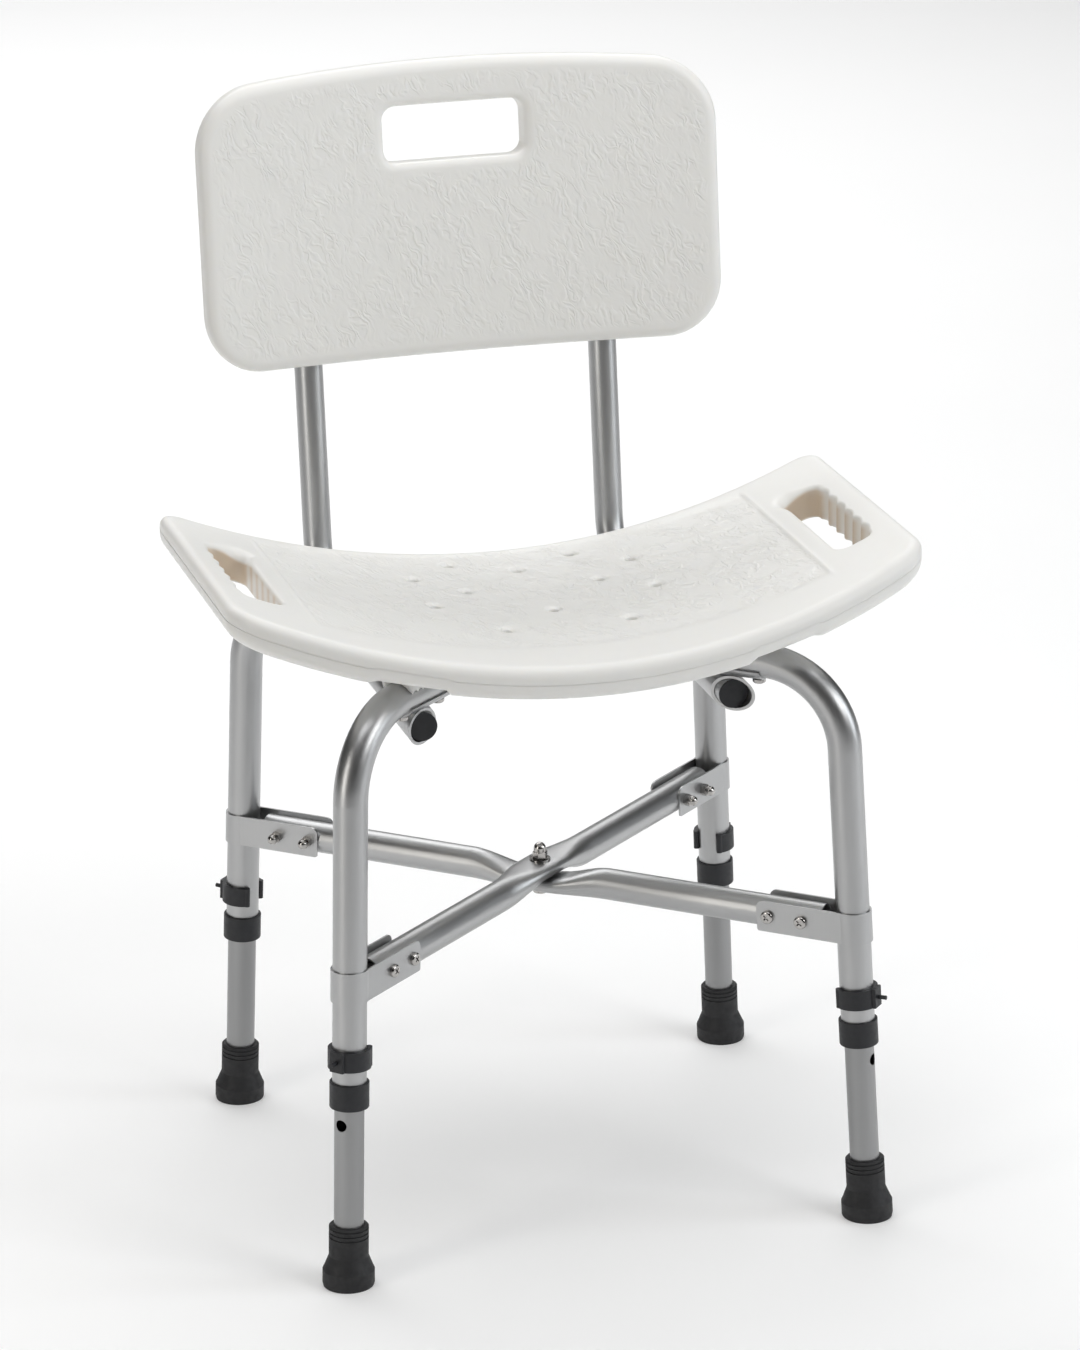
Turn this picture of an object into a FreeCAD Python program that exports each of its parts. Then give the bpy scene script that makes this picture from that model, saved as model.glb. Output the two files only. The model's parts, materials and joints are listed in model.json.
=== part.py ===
import FreeCAD, Part
import math
import os
from FreeCAD import Placement, Rotation, Vector

# Height-adjustable shower chair: a curved blow-moulded seat on two crossed tube arches, braced by
# two crossed tubes, with four telescopic legs and a backrest that slides out of four brackets.
# Millimetres. -Y is the front and Z is up. +X is to the right for someone facing the front, and the
# nodes' left and right are meant that way too. The feet stand on Z = 0.

# ---- Driving dimensions ------------------------------------------------------------------------
# Legs and arches
leg_tube_d = 25.4            # outer leg and arch tube, 1 in
leg_tube_wall = 1.2
extension_d = 22.2           # telescopic lower leg, 7/8 in
extension_wall = 1.2
leg_spacing_x = 386.4        # between leg axes, at brace height
leg_spacing_y = 349.7
leg_splay = 0.054            # outward lean along the diagonal, per mm of height
arch_z = 431.0               # axis of the level part of both arches
arch_bend_r = 63.5
arch_flat = (16.0, 30.0)     # where two tubes cross: half the flat stretch, and the run from round to flat
brace_flat = (9.0, 50.0)
flat_spread = 4.0            # how much wider each side of the tube gets when flattened
flat_crown_drop = 0.8        # how much the far side of the flattened tube is pressed in
flat_gap = 0.15              # from the crossing's level to each flattened tube

# Cross brace
brace_z = 234.0
brace_d = 24.0
brace_end_gap = 22.6         # from the leg axis to the brace's open end

# Leg clamps
clamp_h = 24.0
clamp_t = 1.5
clamp_reach = 73.0           # from the leg axis to the ends of the ears
clamp_bolt_reach = (37.0, 64.0)
clamp_bolt_d = 5.0
clamp_top_corner_r, clamp_low_corner_r = 5.5, 1.8

# Leg ends, heights measured along the leg from the floor
collar_low, collar_high = 139.5, 159.5
collar_d = 29.4
tube_end = 142.5             # lower end of the outer tube, inside the collar
clip_at = 178.0              # height clip's peg
clip_h = 15.0
clip_t = 3.2
clip_opening = 95.0          # degrees left open, toward the chair's centre
hole_pitch = 25.4
holes_each_way = 2
leg_hole_d = 9.0
peg_d = 8.4
extension_low, extension_top = 6.0, 262.0
tip_base_d, tip_base_h = 38.8, 14.0
tip_neck_d, tip_neck_low, tip_top = 29.6, 22.0, 47.0

# Back tubes
back_tube_d = 22.2
back_tube_wall = 1.2
back_tube_x = 119.0
back_tube_z = 403.65         # axis of the level part under the seat
back_tube_front = -114.0
back_corner_y = 204.1        # where the level and the leaning axes meet
back_lean = 0.1              # lean backward, per mm of height
back_bend_r = 55.5
back_tube_top = 792.0

# Seat brackets
bracket_wall = 2.0
bracket_fit = 0.3            # clearance of the back tube in its sleeve
bracket_len = 56.0
flange_t = 1.6
flange_edge = 5.0            # from a screw to the flange's end
flange_top_drop = 6.0        # from the arch's axis down to the saddle's long edges
front_bracket_screws = (-17.5, 17.5)    # from the back tube to each screw, across the chair
rear_bracket_screws = (-40.0, -17.5)    # both inboard, because the seat ends behind the tube

# Snap buttons
button_d = 6.4
button_behind = 8.0          # from the rear bracket's middle
leaf_w, leaf_t = 6.0, 0.5

# Seat
seat_width = 528.0
seat_t = 26.0
seat_mid_z = 450.8           # middle of the thickness, at the centre line
seat_mid_r = 702.5           # radius of the curve across the seat
seat_front_y, seat_front_end_y = -194.0, -139.0
seat_back_y, seat_back_end_y = 112.3, 133.0
seat_corner_r, seat_rim_r = 20.0, 9.5
seat_skin = 2.6
seat_insert_low, seat_insert_len = 446.0, 12.0
hand_slot_x, hand_slot_y = (212.0, 242.0), (-81.0, 56.0)
hand_slot_corner_r = 11.0
pad_edge = 9.0               # from a bracket screw to the end of the rib that it screws into
drain_d, drain_dish_d, drain_dish_depth = 8.5, 16.0, 2.4
drains = ((48, 75), (86, 38), (0, 52), (52, 7), (86, -30), (0, -49.5), (48, -91))
recess_x, recess_front_y, recess_back_y, recess_depth = 193.6, -139.0, 99.0, 1.0
recess_front_end_y = -115.0

# Backrest panel, drawn upright before it is leaned back
panel_width = 412.0
panel_h = 229.0              # at the centre line
panel_crown = 13.5           # how much the top edge falls away at the sides
panel_t = 25.0
panel_r = 900.0              # curve across the front face
panel_front_y = 196.5        # front face on the centre line, at its lower edge
panel_low_z = 596.0
panel_corner_r, panel_rim_r = 44.0, 8.5
panel_slot_w, panel_slot_h, panel_slot_up = 113.0, 44.0, 173.0
panel_slot_corner_r, panel_slot_rim_r = 10.0, 6.0
panel_screw_up = (38.0, 150.0)

# Fasteners
screw_d = 5.0
pan_head_d, pan_head_h = 10.0, 3.2
acorn_flat, acorn_hex_h, acorn_h = 8.4, 4.4, 10.5
washer_t = 1.2
centre_bolt_d = 6.0
insert_d = 9.0

UP = Vector(0, 0, 1)
OUTPUT = "parts"
LEGS = {"front_left": (-1, -1), "front_right": (1, -1), "rear_left": (-1, 1), "rear_right": (1, 1)}

diagonal = math.hypot(leg_spacing_x, leg_spacing_y)
reach_x, reach_y = leg_spacing_x / diagonal, leg_spacing_y / diagonal


# ---- Directions and small helpers --------------------------------------------------------------
def outward(side):
    """Level direction from the chair's centre toward a leg."""
    return Vector(side[0] * reach_x, side[1] * reach_y, 0)


def frontward_normal(side):
    """Level direction square to a leg's diagonal, on the side that faces forward."""
    return Vector(side[0] * side[1] * reach_y, -reach_x, 0)


def leg_reach(z):
    """Distance of a leg's axis from the chair's centre line, at height z."""
    return diagonal / 2 + leg_splay * (brace_z - z)


def leg_axis(side):
    """Unit vector up along a leg, which leans in toward the centre."""
    axis = UP - outward(side) * leg_splay
    return axis.normalize()


def leg_point(side, along):
    """Point on a leg's axis, this far along it from the floor."""
    return outward(side) * leg_reach(0) + leg_axis(side) * along


def leg_frame(side):
    """Placement with its origin at the leg's foot, X pointing outward and Z up the leg."""
    z_dir = leg_axis(side)
    x_dir = (outward(side) + UP * leg_splay).normalize()
    rotation = Rotation(x_dir, z_dir.cross(x_dir), z_dir, "ZXY")
    return Placement(leg_point(side, 0), rotation)


def cylinder(d, start, axis, length):
    return Part.makeCylinder(d / 2, length, start, axis)


def ring(outer_d, inner_d, length, start=Vector(0, 0, 0), axis=UP):
    return cylinder(outer_d, start, axis, length).cut(cylinder(inner_d, start, axis, length))


def polygon_prism(points, z_low, z_high):
    """Upright prism on a closed outline of (x, y) points."""
    corners = [Vector(x, y, z_low) for x, y in points]
    return Part.Face(Part.makePolygon(corners + corners[:1])).extrude(UP * (z_high - z_low))


def rounded_box(x_range, y_range, z_range, corner_r):
    """Upright box with rounded upright edges."""
    size = [high - low for low, high in (x_range, y_range, z_range)]
    box = Part.makeBox(*size, Vector(x_range[0], y_range[0], z_range[0]))
    return box.makeFillet(corner_r, upright_edges(box))


def upright_edges(shape):
    return [e for e in shape.Edges if len(e.Vertexes) == 2 and abs(e.tangentAt(e.FirstParameter).z) > 0.99]


def edges_where(shape, test):
    """Edges whose sampled points all pass a test."""
    chosen = []
    for edge in shape.Edges:
        first, last = edge.FirstParameter, edge.LastParameter
        points = [edge.valueAt(first + (last - first) * part / 4) for part in range(5)]
        if all(test(point) for point in points):
            chosen.append(edge)
    return chosen


def placed(shape, placement):
    """Copy of a shape, moved rigidly."""
    copy = shape.copy()
    copy.Placement = placement.multiply(copy.Placement)
    return copy


def mirror_x(shape):
    return shape.mirror(Vector(0, 0, 0), Vector(1, 0, 0))


def union(shapes):
    return shapes[0].multiFuse(shapes[1:]).removeSplitter() if len(shapes) > 1 else shapes[0]


def group(shapes):
    """Several separate solids kept together as one node."""
    return Part.makeCompound(shapes)


# ---- Fasteners, drawn with the head's underside at the origin and the shank along +Z ------------
def place_along(shape, point, axis):
    return placed(shape, Placement(point, Rotation(UP, axis)))


def pan_screw(length, d=screw_d):
    """Pan-head screw with a cross recess."""
    head = Part.makeCylinder(pan_head_d * d / screw_d / 2, pan_head_h, Vector(0, 0, -pan_head_h))
    head = head.makeFillet(pan_head_h * 0.55, edges_where(head, lambda p: p.z < -pan_head_h + 0.01))
    cross = union([
        Part.makeBox(5.2, 1.1, 2.0, Vector(-2.6, -0.55, -pan_head_h - 0.2)),
        Part.makeBox(1.1, 5.2, 2.0, Vector(-0.55, -2.6, -pan_head_h - 0.2)),
    ])
    return head.cut(cross).fuse(Part.makeCylinder(d / 2, length)).removeSplitter()


def acorn_nut(d=screw_d):
    """Dome nut whose seat is at the origin and whose dome points along +Z."""
    scale = d / screw_d
    across_corners = acorn_flat * scale / math.cos(math.pi / 6)
    corners = [(across_corners / 2 * math.cos(math.radians(60 * i)),
                across_corners / 2 * math.sin(math.radians(60 * i))) for i in range(6)]
    hexagon = polygon_prism(corners, 0, acorn_hex_h * scale)
    dome_r = acorn_flat * scale / 2 - 0.3
    dome_low = acorn_h * scale - dome_r
    dome = Part.makeCylinder(dome_r, dome_low).fuse(Part.makeSphere(dome_r, Vector(0, 0, dome_low)))
    dome = dome.common(Part.makeCylinder(dome_r, acorn_h * scale))
    bore = Part.makeCylinder(d / 2, acorn_h * scale - 2.5)
    return hexagon.fuse(dome).removeSplitter().cut(bore)


def threaded_insert(length):
    """Knurled brass insert: a flanged sleeve, blind at its far end."""
    sleeve = Part.makeCylinder(insert_d / 2, length).cut(Part.makeCylinder(screw_d / 2, length - 1.5))
    grooves = [ring(insert_d + 1, insert_d - 0.8, 1.0, Vector(0, 0, z)) for z in (3.0, 6.0, 9.0)]
    return sleeve.cut(group(grooves))


# ---- Tubes ---------------------------------------------------------------------------------------
def swept_rod(d, path):
    """Round bar of diameter d along a wire."""
    start = path.Edges[0]
    normal = start.tangentAt(start.FirstParameter)
    profile = Part.Wire(Part.makeCircle(d / 2, start.valueAt(start.FirstParameter), normal))
    return path.makePipeShell([profile], True, True)


def bent_path(start, corner, end, bend_r):
    """Line, tangent arc, line."""
    into, away = (corner - start).normalize(), (end - corner).normalize()
    turn = into.getAngle(away)
    tangent = bend_r * math.tan(turn / 2)
    arc_start, arc_end = corner - into * tangent, corner + away * tangent
    bisector = (away - into).normalize()
    centre = corner + bisector * (bend_r / math.cos(turn / 2))
    arc_mid = centre - bisector * bend_r
    edges = [
        Part.makeLine(start, arc_start),
        Part.Arc(arc_start, arc_mid, arc_end).toShape(),
        Part.makeLine(arc_end, end),
    ]
    return Part.Wire(edges)


def flattened_section(at, tube_r, inset, amount):
    """Closed curve across a tube that runs along X; amount 0 is round and 1 is pressed flat.

    The tube is pressed up from below, so that it fits over another one. The inset is 0 for the
    tube's outside and the wall thickness for its bore.
    """
    if amount == 0:
        across = Rotation(Vector(0, 1, 0), UP, Vector(1, 0, 0), "XYZ")
        return placed(Part.Wire(Part.makeCircle(tube_r - inset)), Placement(Vector(at, 0, 0), across))
    half_wide = tube_r - inset + flat_spread * amount
    crown = tube_r - inset - flat_crown_drop * amount
    pressed = inset - tube_r + (tube_r + flat_gap) * amount
    middle, half_high = (crown + pressed) / 2, (crown - pressed) / 2
    squareness = 2 / (2 + 1.2 * amount)
    points = []
    for step in range(24):
        angle = 2 * math.pi * step / 24
        c, s = math.cos(angle), math.sin(angle)
        y = math.copysign(abs(c) ** squareness, c) * half_wide
        z = math.copysign(abs(s) ** squareness, s) * half_high + middle
        points.append(Vector(at, y, z))
    curve = Part.BSplineCurve()
    curve.interpolate(points, PeriodicFlag=True)
    return Part.Wire(curve.toShape())


def flattened_bar(tube_r, inset, flat):
    """Crossing stretch of a tube along X, centred on the origin."""
    half_len, run = flat
    steps = [level / 7 for level in range(8)]
    places = [-half_len - run * (1 - level) for level in steps]
    sections = []
    for at, level in zip(places + [-at for at in reversed(places)], steps + steps[::-1]):
        amount = level * level * (3 - 2 * level)
        sections.append(flattened_section(at, tube_r, inset, amount))
    return Part.makeLoft(sections, True, False)


def crossing_place(z, side, direction):
    """Turns a bar along X into one along a leg's diagonal; direction -1 also turns it over."""
    turn = Rotation(Vector(1, 0, 0), outward(side))
    if direction < 0:
        turn = turn.multiply(Rotation(Vector(1, 0, 0), 180))
    return Placement(Vector(0, 0, z), turn)


def arch(side, direction):
    """One tube bent into an arch over two opposite legs, flattened where it crosses the other.

    Direction 1 is the tube on top at the crossing, and -1 the tube below.
    """
    crossing_end = sum(arch_flat)
    bars = []
    for inset in (0, leg_tube_wall):
        centre = flattened_bar(leg_tube_d / 2, inset, arch_flat)
        pieces = [placed(centre, crossing_place(arch_z, side, direction))]
        for end_side in (side, (-side[0], -side[1])):
            corner = outward(end_side) * leg_reach(arch_z) + UP * arch_z
            inner_end = outward(end_side) * crossing_end + UP * arch_z
            path = bent_path(leg_point(end_side, tube_end), corner, inner_end, arch_bend_r)
            pieces.append(swept_rod(leg_tube_d - 2 * inset, path))
        bars.append(union(pieces))
    tube = bars[0].cut(bars[1])
    holes = [cylinder(centre_bolt_d + 0.4, Vector(0, 0, arch_z - 30), UP, 60)]
    for end_side in (side, (-side[0], -side[1])):
        holes.append(cylinder(leg_hole_d, leg_point(end_side, clip_at), outward_square(end_side), leg_tube_d))
        for point in bracket_screw_points(end_side):
            holes.append(cylinder(screw_d + 0.6, point, UP, 60))
    return tube.cut(group(holes))


def outward_square(side):
    """Outward direction square to a leg's own axis."""
    return leg_frame(side).Rotation.multVec(Vector(1, 0, 0))


def brace(side, direction):
    """Straight tube between two opposite legs, flattened where it crosses the other brace."""
    half_len = leg_reach(brace_z) - brace_end_gap
    crossing_end = sum(brace_flat)
    bars = []
    for inset in (0, leg_tube_wall):
        pieces = [flattened_bar(brace_d / 2, inset, brace_flat)]
        for start in (-half_len, crossing_end):
            pieces.append(cylinder(brace_d - 2 * inset, Vector(start, 0, 0), Vector(1, 0, 0),
                                   half_len - crossing_end))
        bars.append(union(pieces))
    tube = bars[0].cut(bars[1])
    holes = [cylinder(centre_bolt_d + 0.4, Vector(0, 0, -30), UP, 60)]
    for reach in clamp_bolt_reach:
        for way in (1, -1):
            start = Vector(way * (leg_reach(brace_z) - reach), -20, 0)
            holes.append(cylinder(clamp_bolt_d + 0.3, start, Vector(0, 1, 0), 40))
    return placed(tube.cut(group(holes)), crossing_place(brace_z, side, direction))


# ---- Leg clamps ----------------------------------------------------------------------------------
def leg_clamp(side):
    """Strap bent round the leg, with two parallel ears that hold the brace between them."""
    leg_r = leg_tube_d / 2
    half_gap = brace_d / 2
    low = brace_z - clamp_h / 2
    outer_ears = Part.makeBox(clamp_reach, 2 * (half_gap + clamp_t), 1,
                              Vector(-clamp_reach, -half_gap - clamp_t, 0))
    inner_ears = Part.makeBox(clamp_reach + 2, 2 * half_gap, 1, Vector(-clamp_reach - 2, -half_gap, 0))
    outer = Part.makeCylinder(leg_r + clamp_t, 1).fuse(outer_ears)
    inner = Part.makeCylinder(leg_r + 0.04, 1).fuse(inner_ears)
    plate = outer.cut(inner).removeSplitter()
    section = [face for face in plate.Faces if face.CenterOfMass.z < 0.01][0]
    strap = section.extrude((UP - Vector(leg_splay, 0, 0)) * clamp_h)
    ends = edges_where(strap, lambda p: p.x < -clamp_reach + 2)
    corners = [e for e in ends if abs(e.tangentAt(e.FirstParameter).y) > 0.9]
    for radius, above in ((clamp_top_corner_r, True), (clamp_low_corner_r, False)):
        chosen = [e for e in corners if (e.CenterOfMass.z > clamp_h / 2) == above]
        strap = strap.makeFillet(radius, chosen)
    lean = leg_splay * clamp_h / 2
    holes = [cylinder(clamp_bolt_d + 0.3, Vector(-reach - lean, -20, clamp_h / 2), Vector(0, 1, 0), 40)
             for reach in clamp_bolt_reach]
    strap = strap.cut(group(holes))
    at = outward(side) * leg_reach(low) + UP * low
    return placed(strap, Placement(at, Rotation(Vector(1, 0, 0), outward(side))))


def clamp_bolt_line(side, reach):
    """Middle of a clamp bolt and the direction that its head faces."""
    middle = outward(side) * (leg_reach(brace_z) - reach) + UP * brace_z
    head_way = frontward_normal(side) * (1 if side[1] < 0 else -1)
    return middle, head_way


def clamp_screws(side):
    half = brace_d / 2 + clamp_t
    screws = []
    for reach in clamp_bolt_reach:
        middle, head_way = clamp_bolt_line(side, reach)
        screws.append(place_along(pan_screw(2 * half + 4.5), middle + head_way * half, head_way * -1))
    return group(screws)


def clamp_nuts(side):
    half = brace_d / 2 + clamp_t
    nuts = []
    for reach in clamp_bolt_reach:
        middle, head_way = clamp_bolt_line(side, reach)
        nuts.append(place_along(acorn_nut(), middle - head_way * half, head_way * -1))
    return group(nuts)


# ---- Telescopic leg ends, drawn along +Z in the leg's own frame ----------------------------------
def leg_extension():
    """Lower leg tube with its row of height holes."""
    tube = ring(extension_d, extension_d - 2 * extension_wall, extension_top - extension_low,
                Vector(0, 0, extension_low))
    holes = []
    for step in range(-holes_each_way, holes_each_way + 1):
        z = clip_at + step * hole_pitch
        holes.append(cylinder(leg_hole_d, Vector(0, 0, z), Vector(1, 0, 0), extension_d))
    return tube.cut(group(holes))


def foot_tip():
    """Rubber tip with a broad base and a socket for the lower leg."""
    base, neck = tip_base_d / 2, tip_neck_d / 2
    profile = [(0, -4), (base - 1.5, -4), (base, 2.0), (base, tip_base_h - 2), (base - 1, tip_base_h),
               (neck, tip_neck_low + 1), (neck, tip_top - 1), (neck - 1, tip_top), (0, tip_top)]
    points = [Vector(r, 0, z) for r, z in profile]
    body = Part.Face(Part.makePolygon(points + points[:1])).revolve(Vector(0, 0, 0), UP, 360)
    socket = cylinder(extension_d, Vector(0, 0, extension_low), UP, tip_top)
    rings = [ring(tip_neck_d + 2, tip_neck_d - 1.2, 1.2, Vector(0, 0, z)) for z in (37.5, 41.0, 44.5)]
    return body.cut(socket).cut(group(rings))


def cut_at_floor(shape):
    """Levels a foot tip to the floor, which the leaning leg meets at a slant."""
    below = Part.makeBox(1200, 1200, 20, Vector(-600, -600, -20))
    return shape.cut(below)


def leg_collar():
    """Plastic guide that closes the outer tube's end and steadies the lower leg."""
    body = cylinder(collar_d, Vector(0, 0, collar_low), UP, collar_high - collar_low)
    rims = edges_where(body, lambda p: p.z < collar_low + 0.01 or p.z > collar_high - 0.01)
    body = body.makeFillet(0.8, [e for e in rims if e.Closed])
    tube_seat = cylinder(leg_tube_d, Vector(0, 0, tube_end), UP, collar_high)
    bore = cylinder(extension_d + 0.5, Vector(0, 0, collar_low - 1), UP, 40)
    return body.cut(tube_seat).cut(bore)


def height_clip():
    """Springy C-band that hugs the outer tube, with the peg that locks the height."""
    inner_d = leg_tube_d + 0.3
    low = Vector(0, 0, clip_at - clip_h / 2)
    band = ring(inner_d + 2 * clip_t, inner_d, clip_h, low)
    half = math.radians(clip_opening / 2)
    far = 40
    wedge = polygon_prism([(0, 0), (-far, far * math.tan(half)), (-far, -far * math.tan(half))],
                          clip_at - clip_h, clip_at + clip_h)
    band = band.cut(wedge)
    lips = []
    for way in (1, -1):
        angle = math.pi - way * half
        mid_r = inner_d / 2 + clip_t / 2
        lip_at = low + Vector(mid_r * math.cos(angle), mid_r * math.sin(angle), 0)
        lips.append(cylinder(clip_t + 1.6, lip_at, UP, clip_h))
    lips = [lip.cut(cylinder(inner_d, low, UP, clip_h)) for lip in lips]
    outward_x = Vector(1, 0, 0)
    peg = cylinder(peg_d, Vector(0, 0, clip_at), outward_x, inner_d / 2 + 2)
    pad = rounded_box((inner_d / 2 + 0.5, inner_d / 2 + clip_t + 1.6), (-6, 6),
                      (clip_at - clip_h / 2, clip_at + clip_h / 2), 1.0)
    stub = cylinder(3.2, Vector(inner_d / 2 + clip_t, 0, clip_at), outward_x, 8.0)
    return union([band, pad, peg, stub] + lips)


# ---- Back tubes and the brackets that they slide out of ------------------------------------------
def back_axis():
    """Direction up the leaning part of a back tube."""
    return Vector(0, back_lean, 1).normalize()


def back_path(sign):
    start = Vector(sign * back_tube_x, back_tube_front, back_tube_z)
    corner = Vector(sign * back_tube_x, back_corner_y, back_tube_z)
    top = corner + back_axis() * ((back_tube_top - back_tube_z) / back_axis().z)
    return bent_path(start, corner, top, back_bend_r)


def diagonal_slab(side, offset_low, offset_high, z_low, z_high):
    """Upright block along a leg's diagonal, between two offsets toward the front."""
    normal, along = frontward_normal(side), outward(side)
    corners = []
    for reach, offset in ((0, offset_low), (400, offset_low), (400, offset_high), (0, offset_high)):
        point = along * reach + normal * offset
        corners.append((point.x, point.y))
    return polygon_prism(corners, z_low, z_high)


def front_cut_offset():
    """How far ahead of its arch a front sleeve's slanted end lies, square to the arch."""
    side = LEGS["front_right"]
    end = Vector(back_tube_x, back_tube_front, 0)
    return end.dot(frontward_normal(side))


def back_tube(sign):
    bars = [swept_rod(d, back_path(sign)) for d in (back_tube_d, back_tube_d - 2 * back_tube_wall)]
    tube = bars[0].cut(bars[1])
    button_hole = cylinder(button_d + 0.4, button_point(sign) - UP * 20, UP, 20)
    screw_holes = [cylinder(screw_d + 0.4, point - panel_normal() * 20, panel_normal(), 60)
                   for point in panel_screw_points(sign)]
    return tube.cut(group([button_hole] + screw_holes))


def bracket_sleeve_d():
    return back_tube_d + 2 * bracket_fit + 2 * bracket_wall


def bracket_centre(side):
    """Where a back tube passes under an arch."""
    return Vector(side[0] * back_tube_x, side[1] * back_tube_x * reach_y / reach_x, 0)


def bracket_screw_offsets(side):
    """Distances along the diagonal from the back tube to the two screws."""
    across = front_bracket_screws if side[1] < 0 else rear_bracket_screws
    return [offset / reach_x for offset in across]


def bracket_screw_points(side):
    """Foot of each screw's axis, at the flange's underside."""
    foot = bracket_centre(side) + UP * (arch_z - leg_tube_d / 2 - flange_t)
    return [foot + outward(side) * offset for offset in bracket_screw_offsets(side)]


def seat_bracket(side):
    """Sleeve for the back tube, welded under a saddle that is screwed up through the arch."""
    centre = bracket_centre(side)
    cut = front_cut_offset()
    sleeve_slab = diagonal_slab(side, cut - bracket_len * reach_x, cut, 350, 450)
    if side[1] > 0:
        sleeve_slab = diagonal_slab(side, -cut, bracket_len * reach_x - cut, 350, 450)
    start = Vector(centre.x, -150, back_tube_z) if side[1] < 0 else Vector(centre.x, 30, back_tube_z)
    ahead = Vector(0, 1, 0)
    outer = cylinder(bracket_sleeve_d(), start, ahead, 130).common(sleeve_slab)
    bore = cylinder(back_tube_d + 2 * bracket_fit, start, ahead, 130)
    inner_end = bracket_screw_offsets(side)[0] - flange_edge
    outer_end = front_bracket_screws[1] / reach_x + flange_edge
    flange_r = leg_tube_d / 2 + flange_t
    flange = cylinder(2 * flange_r, Vector(inner_end, 0, arch_z), Vector(1, 0, 0), outer_end - inner_end)
    flange = flange.cut(cylinder(leg_tube_d + 0.1, Vector(inner_end, 0, arch_z), Vector(1, 0, 0), 100))
    flange = flange.cut(Part.makeBox(200, 60, 60, Vector(-100, -30, arch_z - flange_top_drop)))
    turn = Rotation(Vector(1, 0, 0), outward(side))
    flange = placed(flange, Placement(centre, turn))
    body = outer.fuse(flange).removeSplitter().cut(bore)
    holes = [cylinder(screw_d + 0.6, point - UP * 20, UP, 40) for point in bracket_screw_points(side)]
    if side[1] > 0:
        holes.append(cylinder(button_d + 0.4, button_point(side[0]) - UP * 25, UP, 25))
    return body.cut(group(holes))


def bracket_screws():
    length = seat_insert_low - (arch_z - leg_tube_d / 2 - flange_t) + 9
    return group([place_along(pan_screw(length), point, UP)
                  for side in LEGS.values() for point in bracket_screw_points(side)])


def tube_plug(start, inward, bore_d, rim_d):
    """Push-in end cap: a rim and a hollow plug."""
    rim = cylinder(rim_d, start - inward * 1.5, inward, 1.5)
    body = cylinder(bore_d, start, inward, 14.0)
    hollow = cylinder(bore_d - 4, start + inward * 1.5, inward, 12.5)
    return rim.fuse(body).removeSplitter().cut(hollow)


def front_plugs():
    """Caps pushed into the front ends of the back tubes."""
    bore = back_tube_d - 2 * back_tube_wall
    plugs = [tube_plug(Vector(sign * back_tube_x, back_tube_front, back_tube_z), Vector(0, 1, 0),
                       bore, back_tube_d - 0.4) for sign in (-1, 1)]
    return group(plugs)


def top_plugs():
    bore = back_tube_d - 2 * back_tube_wall
    tops = []
    for sign in (-1, 1):
        last = back_path(sign).Edges[-1]
        tops.append(tube_plug(last.valueAt(last.LastParameter), back_axis() * -1, bore, back_tube_d))
    return group(tops)


# ---- Snap buttons that lock the back tubes in the rear brackets ----------------------------------
def button_point(sign):
    """Centre of the back tube above a button."""
    return Vector(sign * back_tube_x, bracket_centre(LEGS["rear_right"]).y + button_behind, back_tube_z)


def snap_button(sign):
    """One-piece spring button: a domed pin held down through tube and sleeve by a bent leaf."""
    inner_r = back_tube_d / 2 - back_tube_wall
    shoulder = 1.2 - inner_r
    tip_z = -bracket_sleeve_d() / 2 - 1.4
    pin = Part.makeCylinder(button_d / 2, shoulder - tip_z, Vector(0, 0, tip_z))
    pin = pin.makeFillet(2.2, edges_where(pin, lambda p: p.z < tip_z + 0.01))
    low, high = shoulder, inner_r - 1.2
    outline = [(-5, low), (31, low), (33, low + 0.5), (33, low + 1.5), (-4, high), (-4, high - leaf_t),
               (30, low + 1.2), (30, low + leaf_t), (-5, low + leaf_t)]
    points = [Vector(-leaf_w / 2, y, z) for y, z in outline]
    leaf = Part.Face(Part.makePolygon(points + points[:1])).extrude(Vector(leaf_w, 0, 0))
    button = pin.fuse(leaf).removeSplitter()
    button.translate(button_point(sign))
    return button


# ---- Seat ----------------------------------------------------------------------------------------


def seat_curve(offset):
    """Solid cylinder across the seat's curve, at an offset below its middle surface."""
    axis_start = Vector(0, -400, seat_mid_z + seat_mid_r)
    return Part.makeCylinder(seat_mid_r + offset, 800, axis_start, Vector(0, 1, 0))


def seat_outline(inset, z_low, z_high):
    """Upright block on the seat's plan: bowed at the front and hollowed at the back."""
    x = seat_width / 2 - inset
    front = [Vector(-x, seat_front_end_y + inset, z_low), Vector(0, seat_front_y + inset, z_low),
             Vector(x, seat_front_end_y + inset, z_low)]
    back = [Vector(x, seat_back_end_y - inset, z_low), Vector(0, seat_back_y - inset, z_low),
            Vector(-x, seat_back_end_y - inset, z_low)]
    edges = [Part.Arc(*front).toShape(), Part.makeLine(front[2], back[0]),
             Part.Arc(*back).toShape(), Part.makeLine(back[2], front[0])]
    block = Part.Face(Part.Wire(edges)).extrude(UP * (z_high - z_low))
    return block.makeFillet(max(seat_corner_r - inset, 4.0), upright_edges(block))


def seat_distance(point):
    """Distance of a point from the axis that the seat curves about."""
    return math.hypot(point.x, point.z - seat_mid_z - seat_mid_r)


def seat_layer(inset, half_t):
    return seat_outline(inset, 380, 620).common(seat_curve(half_t)).cut(seat_curve(-half_t))


def rounded_rims(shape, radii, r):
    """Rounds the edges that lie on the seat's upper or lower surface."""
    def on_rim(point):
        return any(abs(seat_distance(point) - x) < 0.02 for x in radii)

    return shape.makeFillet(r, edges_where(shape, on_rim))


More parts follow.
